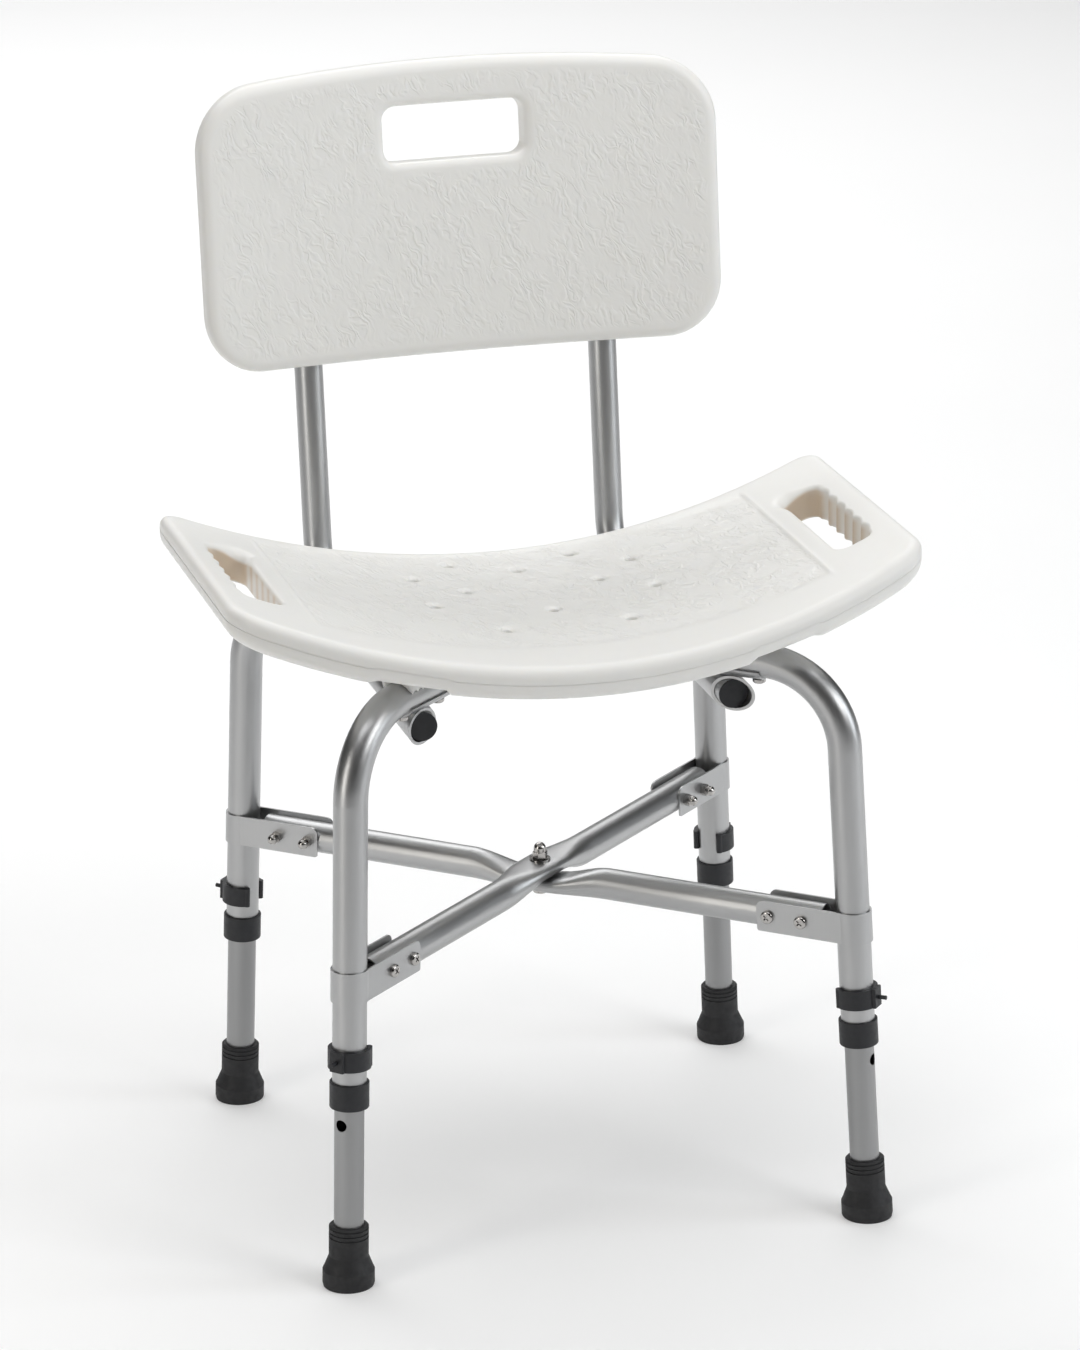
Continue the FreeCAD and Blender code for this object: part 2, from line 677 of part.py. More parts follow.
def arch_channel(d):
    """Both arches' level stretches, as bars to be kept clear of."""
    bars = []
    for side in (LEGS["front_left"], LEGS["front_right"]):
        start = outward(side) * 230 + UP * arch_z
        bars.append(cylinder(d, start, outward(side) * -1, 460))
    crossing = cylinder(2 * (sum(arch_flat)), Vector(0, 0, arch_z - 20), UP, 20 + d / 2)
    return union(bars + [crossing])


def mounting_pads():
    """Ribs under the seat that come down onto the arches at the screws."""
    pads = []
    for side in LEGS.values():
        slab = diagonal_slab(side, -14, 14, arch_z + 5, seat_mid_z + 12)
        middle = bracket_centre(side).Length
        inner, outer = [middle + offset + way * pad_edge
                        for offset, way in zip(bracket_screw_offsets(side), (-1, 1))]
        ends = ring(2 * outer, 2 * inner, 100, Vector(0, 0, 400))
        pads.append(slab.common(ends).cut(seat_curve(0)))
    return pads


def drain_points():
    return [(x * sign, y) for x, y in drains for sign in ((1, -1) if x else (1,))]


def seat_top_z(x):
    return seat_mid_z + seat_mid_r - math.sqrt((seat_mid_r - seat_t / 2) ** 2 - x * x)


def drain_holes():
    tools = []
    for x, y in drain_points():
        top = seat_top_z(x)
        tools.append(cylinder(drain_d, Vector(x, y, top - 40), UP, 60))
        foot = Vector(x, y, top - drain_dish_depth)
        dish = Part.makeCone(drain_d / 2, drain_dish_d / 2 + 3, drain_dish_depth + 2, foot)
        tools.append(dish)
    return tools


def hand_slot(grow):
    """Upright block through the right-hand slot, grown outward by a margin."""
    (x0, x1), (y0, y1) = hand_slot_x, hand_slot_y
    corner_r = hand_slot_corner_r + grow
    return rounded_box((x0 - grow, x1 + grow), (y0 - grow, y1 + grow), (400, 560), corner_r)


def seat_recess():
    """Shallow field across the middle of the seat's top."""
    front = [Vector(-recess_x, recess_front_end_y, 400), Vector(0, recess_front_y, 400),
             Vector(recess_x, recess_front_end_y, 400)]
    back = [Vector(recess_x, recess_back_y, 400), Vector(-recess_x, recess_back_y, 400)]
    edges = [Part.Arc(*front).toShape(), Part.makeLine(front[2], back[0]),
             Part.makeLine(back[0], back[1]), Part.makeLine(back[1], front[0])]
    block = Part.Face(Part.Wire(edges)).extrude(UP * 200)
    return block.makeFillet(8.0, upright_edges(block)).common(seat_curve(recess_depth - seat_t / 2))


def seat_cavity():
    """Air space inside the blow-moulded seat, clear of every hole, slot, channel and insert."""
    cavity = seat_layer(9.0, seat_t / 2 - seat_skin)
    slot = hand_slot(6.5)
    posts = [cylinder(drain_d + 9, Vector(x, y, 380), UP, 240) for x, y in drain_points()]
    posts += [cylinder(insert_d + 6, Vector(p.x, p.y, 380), UP, 240)
              for side in LEGS.values() for p in bracket_screw_points(side)]
    return cavity.cut(group([slot, mirror_x(slot)])).cut(union(posts)).cut(arch_channel(leg_tube_d + 6))


def seat():
    faces = (seat_mid_r - seat_t / 2, seat_mid_r + seat_t / 2)
    slab = rounded_rims(seat_layer(0, seat_t / 2), faces, seat_rim_r)
    body = slab.multiFuse(mounting_pads())
    body = body.cut(arch_channel(leg_tube_d + 0.4))
    slot = hand_slot(0)
    body = body.cut(group([slot, mirror_x(slot)])).cut(seat_recess()).cut(group(drain_holes()))
    inserts = [cylinder(insert_d, Vector(p.x, p.y, seat_insert_low), UP, seat_insert_len)
               for side in LEGS.values() for p in bracket_screw_points(side)]
    shafts = [cylinder(screw_d + 0.6, Vector(p.x, p.y, 430), UP, seat_insert_low - 430)
              for side in LEGS.values() for p in bracket_screw_points(side)]
    return body.cut(group(inserts + shafts)).cut(seat_cavity())


def seat_inserts():
    return group([place_along(threaded_insert(seat_insert_len), Vector(p.x, p.y, seat_insert_low), UP)
                  for side in LEGS.values() for p in bracket_screw_points(side)])


# ---- Backrest ------------------------------------------------------------------------------------
def panel_lean(shape):
    """Leans an upright panel piece back about its lower front edge."""
    angle = math.degrees(math.atan(back_lean))
    shape.rotate(Vector(0, panel_front_y, panel_low_z), Vector(1, 0, 0), -angle)
    return shape


def panel_normal():
    """Direction square to the leaned panel, pointing backward."""
    return Vector(0, 1, -back_lean).normalize()


def panel_screw_points(sign):
    """Point on a back tube's axis at each panel screw."""
    corner = Vector(sign * back_tube_x, back_corner_y, back_tube_z)
    points = []
    for up in panel_screw_up:
        z = panel_low_z + up
        points.append(corner + back_axis() * ((z - back_tube_z) / back_axis().z))
    return points


def panel_outline(inset):
    """Block on the panel's outline, square to the front, with a crowned top edge."""
    x, low, y = panel_width / 2 - inset, panel_low_z + inset, panel_front_y - 60
    top = panel_low_z + panel_h - inset
    side_top = top - panel_crown
    corners = [Vector(-x, y, low), Vector(x, y, low), Vector(x, y, side_top), Vector(-x, y, side_top)]
    edges = [Part.makeLine(corners[0], corners[1]), Part.makeLine(corners[1], corners[2]),
             Part.Arc(corners[2], Vector(0, y, top), corners[3]).toShape(),
             Part.makeLine(corners[3], corners[0])]
    block = Part.Face(Part.Wire(edges)).extrude(Vector(0, 120, 0))
    along_y = [e for e in block.Edges if abs(e.tangentAt(e.FirstParameter).y) > 0.99]
    return block.makeFillet(panel_corner_r - inset, along_y)


def panel_curve(depth):
    """Upright cylinder whose surface lies this far behind the panel's front face."""
    return Part.makeCylinder(panel_r + depth, 400, Vector(0, panel_front_y - panel_r, panel_low_z - 60))


def panel_layer(inset, front, back):
    return panel_outline(inset).common(panel_curve(back)).cut(panel_curve(front))


def panel_slot(grow):
    """Block through the hand slot near the panel's top."""
    half_w, half_h = panel_slot_w / 2 + grow, panel_slot_h / 2 + grow
    z = panel_low_z + panel_slot_up
    box = Part.makeBox(2 * half_w, 160, 2 * half_h, Vector(-half_w, panel_front_y - 80, z - half_h))
    along_y = [e for e in box.Edges if abs(e.tangentAt(e.FirstParameter).y) > 0.99]
    return box.makeFillet(panel_slot_corner_r + grow, along_y)


def panel_edges(shape):
    """Edges that lie on the panel's front or rear face."""
    def on_face(point):
        distance = math.hypot(point.x, point.y - panel_front_y + panel_r)
        return any(abs(distance - panel_r - depth) < 0.02 for depth in (0, panel_t))
    return edges_where(shape, on_face)


def tube_channels(d):
    """Bars along the leaning part of both back tubes."""
    bars = []
    for sign in (-1, 1):
        start = Vector(sign * back_tube_x, back_corner_y, back_tube_z) + back_axis() * 100
        bars.append(cylinder(d, start, back_axis(), 400))
    return bars


def panel_insert_start(point):
    """Mouth of a panel insert, just ahead of the back tube."""
    return point - panel_normal() * (back_tube_d / 2 + 0.4)


def backrest():
    outer = panel_layer(0, 0, panel_t)
    outer = outer.makeFillet(panel_rim_r, panel_edges(outer))
    slotted = outer.cut(panel_slot(0))
    slot_half = panel_slot_w / 2 + 0.1
    slot_z = panel_low_z + panel_slot_up
    lips = [e for e in panel_edges(slotted)
            if abs(e.CenterOfMass.x) < slot_half and abs(e.CenterOfMass.z - slot_z) < panel_slot_h / 2 + 0.1]
    slotted = slotted.makeFillet(panel_slot_rim_r, lips)
    cavity = panel_layer(8.5, seat_skin, panel_t - seat_skin).cut(panel_slot(8.0))
    body, cavity = panel_lean(slotted), panel_lean(cavity)
    points = [point for sign in (-1, 1) for point in panel_screw_points(sign)]
    posts = [cylinder(insert_d + 7, point - panel_normal() * 60, panel_normal(), 60) for point in points]
    cavity = cavity.cut(group(posts)).cut(group(tube_channels(back_tube_d + 6)))
    holes = [cylinder(insert_d, panel_insert_start(point) - panel_normal() * 12, panel_normal(), 14)
             for point in points]
    return body.cut(group(tube_channels(back_tube_d + 0.1))).cut(group(holes)).cut(cavity)


def backrest_inserts():
    points = [point for sign in (-1, 1) for point in panel_screw_points(sign)]
    return group([place_along(threaded_insert(11.5), panel_insert_start(point), panel_normal() * -1)
                  for point in points])


def backrest_screws():
    points = [point for sign in (-1, 1) for point in panel_screw_points(sign)]
    back = back_tube_d / 2
    return group([place_along(pan_screw(2 * back + 9), point + panel_normal() * back, panel_normal() * -1)
                  for point in points])


# ---- Centre bolts --------------------------------------------------------------------------------
def crossing_stack(z, r):
    """Heights of the upper and lower faces of two flattened tubes that cross at height z."""
    return z + r - flat_crown_drop, z - r + flat_crown_drop


def centre_washers(z, r):
    high, low = crossing_stack(z, r)
    return group([ring(16, centre_bolt_d + 0.3, washer_t, Vector(0, 0, high)),
                  ring(16, centre_bolt_d + 0.3, washer_t, Vector(0, 0, low - washer_t))])


def centre_bolt(z, r):
    high, low = crossing_stack(z, r)
    length = high - low + 2 * washer_t + 6
    return place_along(pan_screw(length, centre_bolt_d), Vector(0, 0, low - washer_t), UP)


def arch_bolt():
    """Countersunk-flat bolt whose thin head clears the seat above the arches."""
    high, low = crossing_stack(arch_z, leg_tube_d / 2)
    shank = cylinder(centre_bolt_d, Vector(0, 0, low - 8), UP, high - low + 8)
    return shank.fuse(cylinder(14, Vector(0, 0, high), UP, 0.9)).removeSplitter()


def arch_nut():
    low = crossing_stack(arch_z, leg_tube_d / 2)[1]
    return place_along(acorn_nut(centre_bolt_d), Vector(0, 0, low - washer_t), UP * -1)


def arch_washer():
    low = crossing_stack(arch_z, leg_tube_d / 2)[1]
    return ring(16, centre_bolt_d + 0.3, washer_t, Vector(0, 0, low - washer_t))


def brace_nut():
    high = crossing_stack(brace_z, brace_d / 2)[0]
    return place_along(acorn_nut(centre_bolt_d), Vector(0, 0, high + washer_t), UP)


# ---- Assembly ------------------------------------------------------------------------------------
def leg_nodes(name, side):
    """Everything on one leg, placed."""
    place = leg_frame(side)
    return {
        "leg_clamp_" + name: leg_clamp(side),
        "clamp_screws_" + name: clamp_screws(side),
        "clamp_nuts_" + name: clamp_nuts(side),
        "leg_extension_" + name: placed(leg_extension(), place),
        "leg_collar_" + name: placed(leg_collar(), place),
        "height_clip_" + name: placed(height_clip(), place),
        "foot_tip_" + name: cut_at_floor(placed(foot_tip(), place)),
        "seat_bracket_" + name: seat_bracket(side),
    }


def back_nodes(name, sign):
    return {
        "back_tube_" + name: back_tube(sign),
        "snap_button_" + name: snap_button(sign),
    }


def build_nodes():
    nodes = {
        "seat": seat(),
        "seat_threaded_inserts": seat_inserts(),
        "bracket_screws": bracket_screws(),
        "arch_upper": arch(LEGS["front_left"], 1),
        "arch_lower": arch(LEGS["front_right"], -1),
        "arch_bolt": arch_bolt(),
        "arch_washer": arch_washer(),
        "arch_nut": arch_nut(),
        "brace_upper": brace(LEGS["front_left"], 1),
        "brace_lower": brace(LEGS["front_right"], -1),
        "brace_bolt": centre_bolt(brace_z, brace_d / 2),
        "brace_washers": centre_washers(brace_z, brace_d / 2),
        "brace_nut": brace_nut(),
        "backrest": backrest(),
        "backrest_screws": backrest_screws(),
        "backrest_threaded_inserts": backrest_inserts(),
        "back_tube_front_plugs": front_plugs(),
        "back_tube_top_plugs": top_plugs(),
    }
    for name, side in LEGS.items():
        nodes.update(leg_nodes(name, side))
    for name, sign in (("left", -1), ("right", 1)):
        nodes.update(back_nodes(name, sign))
    return nodes


def write(nodes):
    """Writes one file per node, with the origin under the middle of the whole chair."""
    os.makedirs(OUTPUT, exist_ok=True)
    box = Part.makeCompound(list(nodes.values())).optimalBoundingBox(False)
    middle_y = (box.YMin + box.YMax) / 2
    for name, shape in nodes.items():
        shape.translate(Vector(0, -middle_y, 0))
        shape.exportStep(os.path.join(OUTPUT, name + ".step"))
    return middle_y


build_origin_y = write(build_nodes())
print("origin moved back by", round(build_origin_y, 3))
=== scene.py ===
import json
import math

import bpy
import numpy as np
from mathutils import Matrix, Vector, geometry

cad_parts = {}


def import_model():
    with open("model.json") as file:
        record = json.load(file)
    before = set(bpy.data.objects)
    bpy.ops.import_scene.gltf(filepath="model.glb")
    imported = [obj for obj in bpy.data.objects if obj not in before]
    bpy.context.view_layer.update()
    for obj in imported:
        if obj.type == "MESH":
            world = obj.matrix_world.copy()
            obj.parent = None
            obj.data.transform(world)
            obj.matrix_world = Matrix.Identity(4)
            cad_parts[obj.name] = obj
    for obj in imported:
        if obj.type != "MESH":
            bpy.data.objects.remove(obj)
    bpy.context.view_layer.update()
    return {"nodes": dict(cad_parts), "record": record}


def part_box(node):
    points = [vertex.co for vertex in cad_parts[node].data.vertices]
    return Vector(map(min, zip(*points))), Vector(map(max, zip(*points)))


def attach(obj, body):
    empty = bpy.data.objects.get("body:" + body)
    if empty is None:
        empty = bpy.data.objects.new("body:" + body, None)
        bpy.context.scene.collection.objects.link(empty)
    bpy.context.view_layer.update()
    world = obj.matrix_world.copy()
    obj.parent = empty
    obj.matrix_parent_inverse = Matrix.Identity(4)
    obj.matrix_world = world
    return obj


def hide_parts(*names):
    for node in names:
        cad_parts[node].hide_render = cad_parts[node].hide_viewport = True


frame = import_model()
nodes = frame["nodes"]
record = frame["record"]

# The legs' centre line: the four feet stand round it.
FEET = [Vector(m["pos_m"]) for m in record["mounts"] if m["name"].startswith("foot_")]
CENTRE_Y = sum(foot.y for foot in FEET) / len(FEET)


# ---- Node helpers ------------------------------------------------------------------------------
class Shader:
    """A material's node tree, built by short calls."""

    def __init__(self, name):
        self.material = bpy.data.materials.new(name)
        self.material.use_nodes = True
        self.tree = self.material.node_tree
        self.tree.nodes.clear()
        self.output = self.tree.nodes.new("ShaderNodeOutputMaterial")
        self.principled = self.tree.nodes.new("ShaderNodeBsdfPrincipled")
        self.link(self.principled.outputs[0], self.output.inputs["Surface"])

    def link(self, source, target):
        self.tree.links.new(source, target)

    def set(self, **values):
        for name, value in values.items():
            self.principled.inputs[name.replace("_", " ")].default_value = value

    def node(self, kind, inputs=None, **attributes):
        node = self.tree.nodes.new(kind)
        for name, value in attributes.items():
            setattr(node, name, value)
        for key, value in (inputs or {}).items():
            if isinstance(value, bpy.types.NodeSocket):
                self.link(value, node.inputs[key])
            else:
                node.inputs[key].default_value = value
        return node

    def position(self):
        return self.node("ShaderNodeTexCoord").outputs["Object"]

    def attribute(self, name):
        return self.node("ShaderNodeAttribute", attribute_name=name)

    def mapped(self, vector, scale=(1, 1, 1), turn=(0, 0, 0)):
        inputs = {"Vector": vector, "Scale": scale, "Rotation": turn}
        return self.node("ShaderNodeMapping", inputs).outputs[0]

    def noise(self, vector, scale, detail=2.0, roughness=0.5):
        inputs = {"Vector": vector, "Scale": scale, "Detail": detail, "Roughness": roughness}
        return self.node("ShaderNodeTexNoise", inputs).outputs["Fac"]

    def math(self, operation, a, b=0.0):
        return self.node("ShaderNodeMath", {0: a, 1: b}, operation=operation).outputs[0]

    def remap(self, value, low, high, to_low=0.0, to_high=1.0, smooth=False):
        inputs = {"Value": value, "From Min": low, "From Max": high,
                  "To Min": to_low, "To Max": to_high}
        kind = "SMOOTHSTEP" if smooth else "LINEAR"
        return self.node("ShaderNodeMapRange", inputs, interpolation_type=kind).outputs[0]

    def blend(self, factor, a, b):
        node = self.node("ShaderNodeMix", {0: factor}, data_type="RGBA")
        node.inputs[6].default_value = (*a, 1)
        node.inputs[7].default_value = (*b, 1)
        return node.outputs[2]

    def bump(self, height, distance, strength=1.0, normal=None):
        inputs = {"Height": height, "Distance": distance, "Strength": strength}
        if normal is not None:
            inputs["Normal"] = normal
        return self.node("ShaderNodeBump", inputs).outputs[0]

    def drive(self, socket, value):
        self.link(value, self.principled.inputs[socket])


# Darker warm tone painted into the hand slots' walls: painted shade, with a painted glow of light
# through the thin plastic.
SLOT_PAINTED_SHADE_TONE = (0.66, 0.55, 0.43)
GRAIN_RELIEF = 0.00042
GRAIN_FAMILIES = ((-18, 0.24, 128.0), (-42, 0.36, 165.0))  # degrees, stretch along, noise scale
GRAIN_SHARPNESS = 7.0


def plastic():
    """White moulded plastic.

    A shell's grain attribute raises leather wrinkles on it, drawn in its flat_x and flat_y, and a
    third attribute paints in a darker warm tone: painted shade and a painted glow through thin
    walls.
    """
    s = Shader("moulded_plastic")
    s.set(Specular_IOR_Level=0.45, Subsurface_Weight=0.12, Subsurface_Radius=(1.0, 0.85, 0.62),
          Subsurface_Scale=0.004)
    p = s.position()
    flat = s.node("ShaderNodeCombineXYZ", {0: s.attribute("flat_x").outputs["Fac"],
                                           1: s.attribute("flat_y").outputs["Fac"]}).outputs[0]
    mask = s.attribute("grain").outputs["Fac"]
    ridges = grain_height(s, flat)
    wrinkles = s.math("MULTIPLY", ridges, mask)
    tone = s.blend(s.noise(p, 9.0), (0.805, 0.80, 0.775), (0.835, 0.83, 0.805))
    # Painted shade and a painted warm glow, blended into the colour inside the hand slots.
    bore = s.attribute("bore").outputs["Fac"]
    slot_shaded = s.node("ShaderNodeMix", {0: bore, 6: tone}, data_type="RGBA")
    slot_shaded.inputs[7].default_value = (*SLOT_PAINTED_SHADE_TONE, 1)
    s.drive("Base Color", slot_shaded.outputs[2])
    s.drive("Roughness", s.remap(s.noise(p, 160.0), 0.3, 0.7, 0.34, 0.44))
    fine = s.bump(s.noise(p, 900.0), 0.00006, 0.4)
    s.drive("Normal", s.bump(wrinkles, GRAIN_RELIEF, 1.0, fine))
    return s.material


def grain_height(s, flat):
    """Wavy ridges, most of them steep, that bend, branch and die out in smooth patches."""
    sway = s.node("ShaderNodeTexNoise", {"Vector": flat, "Scale": 55.0, "Detail": 2.0})
    offset = s.node("ShaderNodeVectorMath", {0: sway.outputs["Color"], 1: (0.5, 0.5, 0.5)},
                    operation="SUBTRACT").outputs[0]
    scaled = s.node("ShaderNodeVectorMath", {0: offset, "Scale": 0.016}, operation="SCALE")
    warped = s.node("ShaderNodeVectorMath", {0: flat, 1: scaled.outputs[0]},
                    operation="ADD").outputs[0]
    heights = []
    for turn, stretch, scale in GRAIN_FAMILIES:
        turned = s.mapped(warped, turn=(0, 0, math.radians(turn)))
        spread = s.mapped(turned, scale=(1.0, stretch, 1.0))
        value = s.noise(spread, scale, detail=1.5, roughness=0.45)
        off_middle = s.math("MULTIPLY", s.math("SUBTRACT", value, 0.5), GRAIN_SHARPNESS)
        crest = s.math("SUBTRACT", 1.0, s.math("ABSOLUTE", off_middle))
        heights.append(s.remap(crest, 0.25, 0.95, smooth=True))
    both = s.math("MAXIMUM", heights[0], s.math("MULTIPLY", heights[1], 0.8))
    patches = s.remap(s.noise(flat, 38.0, detail=1.0), 0.36, 0.56, 0.15, 1.0, smooth=True)
    return s.math("MULTIPLY", both, patches)


ALUMINIUM_TONES = ((0.44, 0.443, 0.446), (0.48, 0.483, 0.486))


def aluminium(name, along, shade=1.0):
    """Satin anodised tube with faint drawing lines along it; a shade below 1 darkens its colour as
    painted shade.
    """
    s = Shader(name)
    s.set(Metallic=1.0, Specular_IOR_Level=0.5)
    p = s.position()
    turn = along.to_track_quat("Z", "Y").to_matrix().transposed().to_euler()
    lines = s.mapped(s.mapped(p, turn=tuple(turn)), scale=(1.0, 1.0, 0.02))
    # shade paints shade into the colour: a darker copy of the same aluminium.
    dark, light = (tuple(shade * c for c in tone) for tone in ALUMINIUM_TONES)
    s.drive("Base Color", s.blend(s.noise(p, 14.0), dark, light))
    s.drive("Roughness", s.remap(s.noise(lines, 900.0), 0.3, 0.7, 0.34, 0.41))
    s.drive("Normal", s.bump(s.noise(lines, 1600.0), 0.00002, 0.5))
    return s.material


def black_plastic():
    s = Shader("black_plastic")
    p = s.position()
    s.drive("Base Color", s.blend(s.noise(p, 60.0), (0.008, 0.0085, 0.0105), (0.013, 0.014, 0.018)))
    s.drive("Roughness", s.remap(s.noise(p, 300.0), 0.3, 0.7, 0.42, 0.56))
    s.drive("Normal", s.bump(s.noise(p, 1400.0), 0.00004, 0.5))
    return s.material


def rubber():
    s = Shader("black_rubber")
    p = s.position()
    s.drive("Base Color", s.blend(s.noise(p, 70.0), (0.010, 0.010, 0.011), (0.018, 0.018, 0.020)))
    s.drive("Roughness", s.remap(s.noise(p, 220.0), 0.3, 0.7, 0.55, 0.72))
    s.drive("Normal", s.bump(s.noise(p, 900.0), 0.00008, 0.6))
    return s.material


def steel():
    s = Shader("stainless_fasteners")
    s.set(Metallic=1.0)
    p = s.position()
    s.drive("Base Color", s.blend(s.noise(p, 200.0), (0.40, 0.385, 0.37), (0.52, 0.505, 0.49)))
    s.drive("Roughness", s.remap(s.noise(p, 900.0), 0.3, 0.7, 0.14, 0.24))
    s.drive("Normal", s.bump(s.noise(p, 2500.0), 0.00001, 0.5))
    return s.material


def brass():
    s = Shader("brass")
    s.set(Metallic=1.0)
    p = s.position()
    s.drive("Base Color", s.blend(s.noise(p, 300.0), (0.72, 0.53, 0.22), (0.80, 0.62, 0.30)))
    s.drive("Roughness", s.remap(s.noise(p, 900.0), 0.3, 0.7, 0.25, 0.35))
    return s.material


diagonal = (FEET[1] - FEET[2]).normalized()
other_diagonal = Vector((-diagonal.x, diagonal.y, 0))
UP = Vector((0, 0, 1))
PLASTIC, BLACK, RUBBER, STEEL, BRASS = plastic(), black_plastic(), rubber(), steel(), brass()
ALU_LEG = aluminium("aluminium_upright", UP)
# The leg extensions are the same aluminium with painted shade: their colour is darkened to 0.7.
ALU_EXTENSION_SHADED = aluminium("aluminium_extension_shaded", UP, 0.7)
ALU_A = aluminium("aluminium_diagonal", diagonal)
ALU_B = aluminium("aluminium_other_diagonal", other_diagonal)


def finish_for(node):
    if node in ("seat", "backrest"):
        return PLASTIC
    if node.startswith("brace_upper"):
        return ALU_A
    if node.startswith("brace_lower"):
        return ALU_B
    if node.startswith("leg_extension"):
        return ALU_EXTENSION_SHADED
    if node.startswith(("arch_upper", "arch_lower", "back_tube_left", "back_tube_right",
                        "leg_clamp", "seat_bracket")):
        return ALU_LEG
    if node.startswith(("leg_collar", "height_clip", "back_tube_front", "back_tube_top")):
        return BLACK
    if node.startswith("foot_tip"):
        return RUBBER
    if "threaded_inserts" in node:
        return BRASS
    return STEEL


for name, obj in nodes.items():
    obj.data.materials.clear()
    obj.data.materials.append(finish_for(name))


# ---- Moulded shells: the seat and the backrest -------------------------------------------------
# A shell is drawn flat, in metres: a closed outline with holes, each followed by rows of points
# that round its edge. The flat points are triangulated once for each side and lifted by a height
# function, and walls join the two sides. A place function then bends the flat piece into space.
CORNER_WEIGHT = math.cos(math.pi / 4)  # makes the rational curve a circle at a right-angled corner
ROW_HEIGHT = 0.866                     # of a triangular grid's spacing


def arc(start, middle, end, spacing):
    """Points from start to end on the circle through three points; the end is left out."""
    start, middle, end = (np.array(p, float) for p in (start, middle, end))
    ax, ay = middle - start
    bx, by = end - start
    d = 2 * (ax * by - ay * bx)
    centre = start + np.array([by * (ax * ax + ay * ay) - ay * (bx * bx + by * by),
                               ax * (bx * bx + by * by) - bx * (ax * ax + ay * ay)]) / d
    angles = [math.atan2(*(p - centre)[::-1]) for p in (start, middle, end)]
    turn_to_middle = (angles[1] - angles[0] + math.pi) % (2 * math.pi) - math.pi
    turn_to_end = 2 * turn_to_middle
    radius = np.linalg.norm(start - centre)
    count = max(2, round(abs(turn_to_end) * radius / spacing))
    steps = angles[0] + turn_to_end * np.arange(count) / count
    return centre + radius * np.stack([np.cos(steps), np.sin(steps)], 1)


def line(start, end, spacing):
    start, end = np.array(start, float), np.array(end, float)
    count = max(1, round(np.linalg.norm(end - start) / spacing))
    return start + (end - start) * np.arange(count)[:, None] / count


def even(loop, spacing):
    """The same closed loop with evenly spaced points."""
    closed = np.vstack([loop, loop[:1]])
    lengths = np.r_[0, np.cumsum(np.linalg.norm(np.diff(closed, axis=0), axis=1))]
    count = max(8, round(lengths[-1] / spacing))
    at = lengths[-1] * np.arange(count) / count
    return np.stack([np.interp(at, lengths, closed[:, i]) for i in (0, 1)], 1)


def rounded(loop, corners, radius, spacing):
    """Rounds the sharp corners of a closed loop by cutting and refilling with tangent curves."""
    keep = np.ones(len(loop), bool)
    for corner in corners:
        keep &= np.linalg.norm(loop - corner, axis=1) > radius
    points = []
    for i, point in enumerate(loop):
        if keep[i]:
            points.append(point)
            continue
        if keep[i - 1]:
            following = next(j for j in range(i, i + len(loop)) if keep[j % len(loop)])
            start, end = loop[i - 1], loop[following % len(loop)]
            corner = min(corners, key=lambda c: np.linalg.norm(np.array(c) - point))
            for t in np.linspace(0, 1, 14)[1:-1]:
                a, b, c = (1 - t) ** 2, 2 * t * (1 - t) * CORNER_WEIGHT, t * t
                points.append((a * start + b * np.array(corner) + c * end) / (a + b + c))
    return even(np.array(points), spacing)


def normals(loop):
    """Outward normals of a counter-clockwise closed loop."""
    along = np.roll(loop, -1, 0) - np.roll(loop, 1, 0)
    along /= np.linalg.norm(along, axis=1)[:, None]
    return np.stack([along[:, 1], -along[:, 0]], 1)


def edge_rows(loop, side, radius, steps=7):
    """Rows from a loop into the material, with the drop that rounds the edge.

    side is -1 for the outline and 1 for a hole; radius is one number or one per point.
    """
    radius = np.broadcast_to(np.asarray(radius, float), len(loop))[:, None]
    out = normals(loop)
    rows = []
    for step in range(steps + 1):
        angle = math.pi / 2 * step / steps
        points = loop + side * out * radius * (1 - math.cos(angle))
        drop = radius[:, 0] * (1 - math.sin(angle))
        rows.append((points, drop))
    return rows


def inside(points, loop):
    """Which points lie inside a closed loop."""
    x, y = points[:, 0], points[:, 1]
    result = np.zeros(len(points), bool)
    for (x0, y0), (x1, y1) in zip(loop, np.roll(loop, -1, 0)):
        crosses = (y0 > y) != (y1 > y)
        with np.errstate(divide="ignore", invalid="ignore"):
            at = x0 + (y - y0) * (x1 - x0) / (y1 - y0)
        result ^= crosses & (x < at)
    return result


